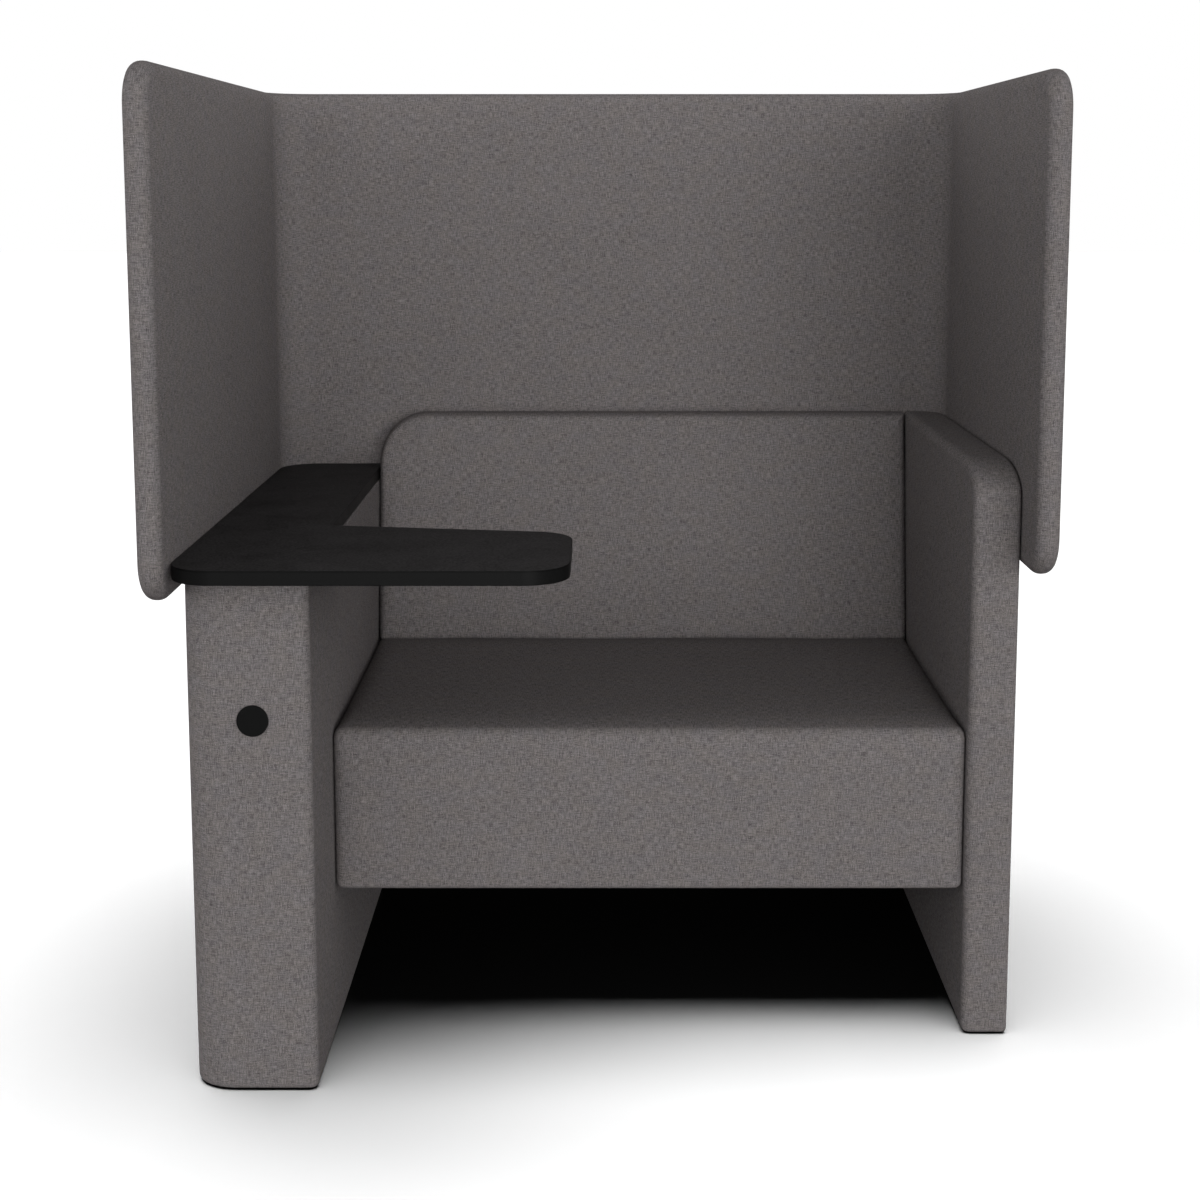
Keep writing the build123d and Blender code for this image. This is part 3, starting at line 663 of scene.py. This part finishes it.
def openHem(points, low, high, hem):
    # The cloth is turned under by a hem, and inside the hem the wood shows: there the bottom
    # rises by the lift, from nothing at the hem to all of it over the slope.
    inside = np.minimum(points[:, :2] - low[:2], high[:2] - points[:, :2]).min(axis=1)
    share = np.clip((inside - hem["width"]) / hem["slope"], 0, 1)
    share[points[:, 2] > low[2] + hem["flat"]] = 0
    raised = points.copy()
    raised[:, 2] += hem["lift"] * share
    return raised


def finishPad(piece, fill, *replaced):
    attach(piece, "chair")
    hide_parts(*replaced)
    print(piece.name, len(piece.data.polygons), "faces")


def boxOf(node):
    low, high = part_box(node)
    return np.array(low), np.array(high)


underHem = {"width": 0.015, "slope": 0.006, "lift": 0.002, "flat": 0.0005}
air = {"pressure": 4.0, "frames": 20}


# Wide arm: drawn in plan, its thickness runs upward

wideArm = {
    "frontOuter": (0.058, 0.042), "frontInner": 0.012, "rearOuter": 0.0595, "foot": 0.007,
    "edge": 0.0045, "crown": 0.0012, "bore": 0.0181, "boreDepth": 0.03, "fill": 0.9,
    "steps": (6, 8, 60, 56, 4),
}


def makeWideArm(size):
    low, high = boxOf("left_arm_cover")
    form = {
        "low": low, "high": high, "edges": (size["foot"], size["edge"]), "steps": size["steps"],
        "corners": (size["frontOuter"], size["frontInner"], sharp, size["rearOuter"]),
    }
    points, faces, uvs = paddedForm(form)
    crown = size["crown"]
    points = swell(points, low, high, ((crown, 0), (crown, 0), (0, 0)))
    points = openHem(points, low, high, underHem)
    piece = clothPiece("wideArmPad", points, faces, uvs)
    subdivide(piece)
    sleeveLow, sleeveHigh = boxOf("outlet_sleeve")
    mouth = (sleeveLow + sleeveHigh) / 2 * (1, 0, 1) + low * (0, 1, 0)
    boreRound(piece, mouth, size["bore"], size["boreDepth"])
    return piece


def boreRound(piece, mouth, radius, depth, sides=64):
    # takes a round bar out of the front face: x = r cos t, z = r sin t, along y
    turn = np.linspace(0, 2 * np.pi, sides + 1)[:-1]
    rim = np.column_stack([radius * np.cos(turn), 0 * turn, radius * np.sin(turn)]) + mouth
    bar = np.vstack([rim - (0, depth, 0), rim + (0, depth, 0)])
    ends = [list(range(sides)), list(range(2 * sides - 1, sides - 1, -1))]
    faces = netFaces(2, sides, 0, True).tolist() + ends
    cutter = newPiece("bore", bar.tolist(), faces, smooth=False)
    hole = piece.modifiers.new("hole", "BOOLEAN")
    hole.operation, hole.solver, hole.object = "DIFFERENCE", "EXACT", cutter
    bored = piece.evaluated_get(bpy.context.evaluated_depsgraph_get())
    whole = bpy.data.meshes.new_from_object(bored)
    piece.modifiers.clear()
    piece.data = whole
    bpy.data.objects.remove(cutter)


finishPad(makeWideArm(wideArm), wideArm["fill"], "left_arm_cover", "left_arm_foam")


# Narrow arm: drawn from the side, its thickness runs across

narrowArm = {
    "noseRun": 0.1, "noseDrop": 0.04, "foot": 0.006, "edges": (0.011, 0.0065), "crown": 0.0012,
    "clear": 0.0008, "fill": 0.9, "steps": (7, 54, 66, 6, 4),
}


def makeNarrowArm(size):
    low, high = boxOf("right_arm_cover")
    high[0] -= size["clear"]
    form = {
        "low": low[[1, 2, 0]], "high": high[[1, 2, 0]], "edges": size["edges"],
        "corners": (size["foot"], sharp, sharp, (size["noseRun"], size["noseDrop"])),
        "steps": size["steps"], "ringTurned": True,
    }
    points, faces, uvs = paddedForm(form)
    crown = size["crown"]
    points = swell(points, form["low"], form["high"], ((crown, 0), (0, crown), (crown, 0)))
    points = openHem(points[:, [2, 0, 1]], low, high, underHem)
    piece = clothPiece("narrowArmPad", points, faces, uvs)
    subdivide(piece)
    return piece


finishPad(makeNarrowArm(narrowArm), narrowArm["fill"], "right_arm_cover", "right_arm_foam")


# Low back: drawn from the front, its thickness runs to the back

lowBack = {
    "corner": 0.078, "edges": (0.009, 0.006), "lean": 9.7, "thickness": 0.048, "sunk": 0.007,
    "fade": 0.012, "heldBehind": 0.012, "heldBelow": 0.004, "cap": 0.0025, "proud": 0.004,
    "clear": 0.0012, "fill": 0.85, "steps": (6, 70, 70, 5, 5),
}


def makeLowBack(size):
    low, high = boxOf("back_cover")
    low[0] += size["clear"]
    high[:2] -= size["clear"]
    seatTop = boxOf("seat_cover")[1][2]
    panel = high[1] - size["thickness"]
    form = {
        "low": np.array([low[0], low[2], panel]), "high": high[[0, 2, 1]],
        "corners": (sharp, sharp, sharp, size["corner"]), "edges": size["edges"],
        "steps": size["steps"],
    }
    points, faces, uvs = paddedForm(form)
    # the front leans forward on its way down to the seat, y = panel - (top - z) tan(lean)
    slope = math.tan(math.radians(size["lean"]))
    height = points[:, 1]
    above = np.clip((height - seatTop + size["sunk"] + size["fade"]) / size["fade"], 0, 1)
    frontShare = np.clip((high[1] - points[:, 2]) / size["thickness"], 0, 1)
    points[:, 2] -= (high[2] - height) * slope * above * frontShare
    points = openHem(points[:, [0, 2, 1]], low, high, underHem)
    piece = clothPiece("lowBackPad", points, faces, uvs)

    def held(p):
        front = panel - (high[2] - p[:, 2]) * slope
        return (p[:, 1] > front + size["heldBehind"]) | (p[:, 2] < seatTop + size["heldBelow"])

    inflate(piece, held, size["cap"], low - (0, size["proud"], 0), high, air)
    subdivide(piece)
    return piece


finishPad(makeLowBack(lowBack), lowBack["fill"], "back_cover", "back_foam")


# Seat: drawn from the side, its thickness runs across

seat = {
    "front": 0.018, "lower": 0.008, "side": 0.012, "heldSide": 0.0005, "heldUnder": 0.01,
    "underBack": 0.066, "cap": 0.0045, "proud": 0.0045, "crownTop": 0.004, "crownFront": 0.002,
    "clear": 0.0008, "fill": 0.75, "steps": (5, 46, 18, 76, 4),
}


def makeSeat(size):
    low, high = boxOf("seat_cover")
    low[0] += size["clear"]
    high[0] -= size["clear"]
    form = {
        "low": low[[1, 2, 0]], "high": high[[1, 2, 0]], "edges": (size["side"],) * 2,
        "corners": (size["lower"], sharp, sharp, size["front"]), "steps": size["steps"],
        "ringTurned": True,
    }
    points, faces, uvs = paddedForm(form)
    piece = clothPiece("seatPad", points[:, [2, 0, 1]], faces, uvs)

    def held(p):
        sides = np.minimum(p[:, 0] - low[0], high[0] - p[:, 0]) < size["heldSide"]
        frontEdge = (p[:, 1] < low[1] + size["front"]) & (p[:, 2] > high[2] - size["front"])
        bottom = p[:, 2] < low[2] + size["heldUnder"]
        return sides | frontEdge | bottom | (p[:, 1] > high[1] - size["underBack"])

    roomLow, roomHigh = low - (0, size["proud"], 0), high + (0, 0, size["proud"])
    inflate(piece, held, size["cap"], roomLow, roomHigh, air)
    subdivide(piece)
    return piece


finishPad(makeSeat(seat), seat["fill"], "seat_cover", "seat_foam")


# Dust cloth: a thin sheet stretched under the seat, pulled up at its staples and slack between

dustSheet = {"columns": 120, "rows": 80, "sag": 0.003, "slack": 0.0008, "reach": 0.03}
stapleRow = {
    "spacing": 0.07, "inset": 0.006, "width": 0.01, "wire": 0.0011, "sunk": 0.0002, "stand": 0.7,
}


def staplesAlong(low, high, axis, row):
    # the length that a row of staples is spread over, and how many there are
    length = high[axis] - low[axis] - 2 * row["inset"]
    return length, round(length / row["spacing"])


def makeStaples(row):
    # Each staple is a bar: its middle plus or minus half its width and half its wire, at an upper
    # and a lower height. There are two rows along each axis.
    low, high = boxOf("dust_cloth")
    signs = np.array([(-1, -1), (1, -1), (1, 1), (-1, 1)])
    heights = np.array([low[2] + row["sunk"], low[2] - row["wire"] * row["stand"]])
    bars = []
    for axis in (0, 1):
        length, count = staplesAlong(low, high, axis, row)
        along = low[axis] + row["inset"] + length * (np.arange(count) + 0.5) / count
        for side in (low[1 - axis] + row["inset"], high[1 - axis] - row["inset"]):
            middles = np.column_stack([along, np.full(count, side)])
            half = np.array([row["width"], row["wire"]]) / 2
            if axis == 1:
                middles, half = middles[:, ::-1], half[::-1]
            outline = np.broadcast_to((middles[:, None] + half * signs)[:, None], (count, 2, 4, 2))
            levels = np.broadcast_to(heights[:, None, None], (count, 2, 4, 1))
            bars.append(np.concatenate([outline, levels], -1).reshape(-1, 3))
    points = np.vstack(bars)
    k = np.arange(4)
    turned = (k + 1) % 4
    bar = np.vstack([k, 4 + k[::-1], np.column_stack([k, 4 + k, 4 + turned, turned])])
    faces = (bar + 8 * np.arange(len(points) // 8)[:, None, None]).reshape(-1, 4)
    piece = newPiece("dustStaples", points.tolist(), faces.tolist(), zinc, smooth=False)
    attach(piece, "chair")
    return piece


def makeDustCloth(size, row):
    low, high = boxOf("dust_cloth")
    x = np.linspace(low[0], high[0], size["columns"])
    y = np.linspace(low[1], high[1], size["rows"])
    px, py = np.meshgrid(x, y)
    u = (2 * px - low[0] - high[0]) / (high[0] - low[0])
    v = (2 * py - low[1] - high[1]) / (high[1] - low[1])
    # z = bottom - sag (1 - u^2)(1 - v^2) - slack sin^2(pi s / spacing), with s from a staple,
    # and the slack fades away from the edge as exp(-distance / reach)
    pz = low[2] - size["sag"] * (1 - u**2) * (1 - v**2)
    for axis, p, other in ((0, px, py), (1, py, px)):
        length, count = staplesAlong(low, high, axis, row)
        wave = np.sin(np.pi * ((p - low[axis] - row["inset"]) / length * count + 0.5)) ** 2
        near = np.minimum(other - low[1 - axis], high[1 - axis] - other)
        pz -= size["slack"] * wave * np.exp(-near / size["reach"])
    points = np.stack([px, py, pz], -1).reshape(-1, 3)
    faces = netFaces(size["rows"], size["columns"], 0, False)[:, ::-1]
    piece = newPiece("dustSheet", points.tolist(), faces.tolist(), dustFinish, closed=False)
    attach(piece, "chair")
    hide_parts("dust_cloth")
    makeStaples(row)


makeDustCloth(dustSheet, stapleRow)
print("dust cloth made")


# Screen: drawn flat as it would unroll, then bent round both rear corners

screenSize = {
    "thickness": 0.032, "inside": 0.06, "wingCorner": 0.055, "rim": 0.0145, "setback": 0.16,
    "crown": 0.0006, "fill": 0.9, "steps": (8, 300, 64, 2, 6),
}


def screenRuns(size, low, high):
    # the radius of the middle line's corners, the length of the long wing and of the back
    half = size["thickness"] / 2
    radius = size["inside"] + half
    return radius, high[1] - half - radius - low[1], high[0] - low[0] - 2 * half - 2 * radius


def screenPath(along, size, low, high):
    # The middle line of the U in plan: straight wing, quarter circle, back, quarter circle, wing.
    radius, wing, back = screenRuns(size, low, high)
    left = low[0] + size["thickness"] / 2
    arc = radius * math.pi / 2
    stops = np.cumsum([0, wing, arc, back, arc])
    t1 = np.clip((along - stops[1]) / arc, 0, 1) * math.pi / 2
    t2 = np.clip((along - stops[3]) / arc, 0, 1) * math.pi / 2
    heading = math.pi / 2 - t1 - t2
    x = left + radius * (1 - np.cos(t1)) + np.clip(along - stops[2], 0, back) + radius * np.sin(t2)
    y = low[1] + np.clip(along, None, wing) + radius * np.sin(t1) - radius * (1 - np.cos(t2))
    y = y - np.clip(along - stops[4], 0, None)
    outward = np.stack([-np.sin(heading), np.cos(heading)], -1)
    return np.stack([x, y], -1), outward


def makeScreen(size):
    low, high = boxOf("screen_cover")
    half = size["thickness"] / 2
    radius, wing, back = screenRuns(size, low, high)
    length = 2 * wing - size["setback"] + back + radius * math.pi
    form = {
        "low": np.array([0, low[2], -half]), "high": np.array([length, high[2], half]),
        "corners": (size["wingCorner"],) * 4, "edges": (size["rim"],) * 2, "steps": size["steps"],
    }
    points, faces, uvs = paddedForm(form)
    crown = size["crown"]
    points = swell(points, form["low"], form["high"], ((0, 0), (0, 0), (crown, crown)))
    middle, outward = screenPath(points[:, 0], size, low, high)
    bent = np.column_stack([middle + outward * points[:, 2:3], points[:, 1]])
    return clothPiece("screenPad", bent, faces, uvs)


finishPad(makeScreen(screenSize), screenSize["fill"], "screen_cover", "screen_foam")
print("padded pieces made")


# Stage: two lights for the floor alone make it white and leave the shadow under the chair dark.
# It throws hardly any light back, and the light from in front passes it by.

stage = {
    "floorSize": 60.0, "floorColor": 0.01, "floorBounce": 0.001,
    "floorSun": 333.0, "floorSunAngle": 55.0,
    "frontSun": 40.5, "frontSunAngle": 32.0, "frontSunTilt": 8.0,
    "keySun": 1.12, "keyAngle": 40.0, "keySide": 12.0, "keyHeight": 0.0,
    "ambient": 0.145, "band": 2.4,
}


def makeWorld(ambient, band):
    # The sky is brightest at the horizon, ambient + band (1 - z)^2, and plain white where the
    # camera sees it, straight or mirrored.
    world = bpy.data.worlds.new("studio")
    scene.world = world
    world.use_nodes = True
    tree = world.node_tree
    tree.nodes.clear()
    path = addNode(tree, "LightPath").outputs
    seen = calculate(tree, "MAXIMUM", path["Is Glossy Ray"], path["Is Transmission Ray"])
    seen = calculate(tree, "MAXIMUM", path["Is Camera Ray"], seen)
    upward = addNode(tree, "SeparateXYZ", Vector=placeOf(tree, "Generated")).outputs[2]
    low = calculate(tree, "SUBTRACT", 1.0, calculate(tree, "MAXIMUM", upward, 0.0))
    low = calculate(tree, "POWER", low, 2.0)
    sky = calculate(tree, "MULTIPLY_ADD", low, band, ambient)
    strength = remap(tree, seen, 0.0, 1.0, sky, 1.0)
    background = addNode(tree, "Background", Color=(1, 1, 1, 1), Strength=strength)
    addNode(tree, "OutputWorld", Surface=background.outputs[0])


def makeFloor(size, shade, bounce):
    material = bpy.data.materials.new("paleFloor")
    material.use_nodes = True
    tree = material.node_tree
    tree.nodes.clear()
    path = addNode(tree, "LightPath").outputs
    plain = addNode(tree, "BsdfDiffuse", Color=(shade, shade, shade, 1)).outputs[0]
    soft = addNode(tree, "BsdfDiffuse", Color=(bounce, bounce, bounce, 1)).outputs[0]
    mixed = addNode(tree, "MixShader", Fac=path["Is Camera Ray"], i1=soft, i2=plain)
    addNode(tree, "OutputMaterial", Surface=mixed.outputs[0])
    corners = [(-size / 2, -size / 2, 0), (size / 2, -size / 2, 0)]
    corners += [(size / 2, size / 2, 0), (-size / 2, size / 2, 0)]
    floor = newPiece("floor", corners, [(0, 1, 2, 3)], material, closed=False, smooth=False)
    return floor


def makeSun(name, strength, angle, rotation, lit, excluded=False):
    sun = bpy.data.lights.new(name, "SUN")
    sun.energy = strength
    sun.angle = math.radians(angle)
    lamp = bpy.data.objects.new(name, sun)
    lamp.rotation_euler = [math.radians(r) for r in rotation]
    scene.collection.objects.link(lamp)
    group = bpy.data.collections.new(name + "Lights")
    group.objects.link(lit)
    lamp.light_linking.receiver_collection = group
    if excluded:
        # the floor neither takes this light nor stands in its way
        group.collection_objects[0].light_linking.link_state = "EXCLUDE"
        lamp.light_linking.blocker_collection = group


makeWorld(stage["ambient"], stage["band"])
floor = makeFloor(stage["floorSize"], stage["floorColor"], stage["floorBounce"])
makeSun("floorSun", stage["floorSun"], stage["floorSunAngle"], (0, 0, 0), floor)
makeSun("frontSun", stage["frontSun"], stage["frontSunAngle"], (stage["frontSunTilt"], 0, 0), floor)
keyTurn = (90 - stage["keyHeight"], 0, stage["keySide"])
makeSun("keySun", stage["keySun"], stage["keyAngle"], keyTurn, floor, excluded=True)
print("stage made")
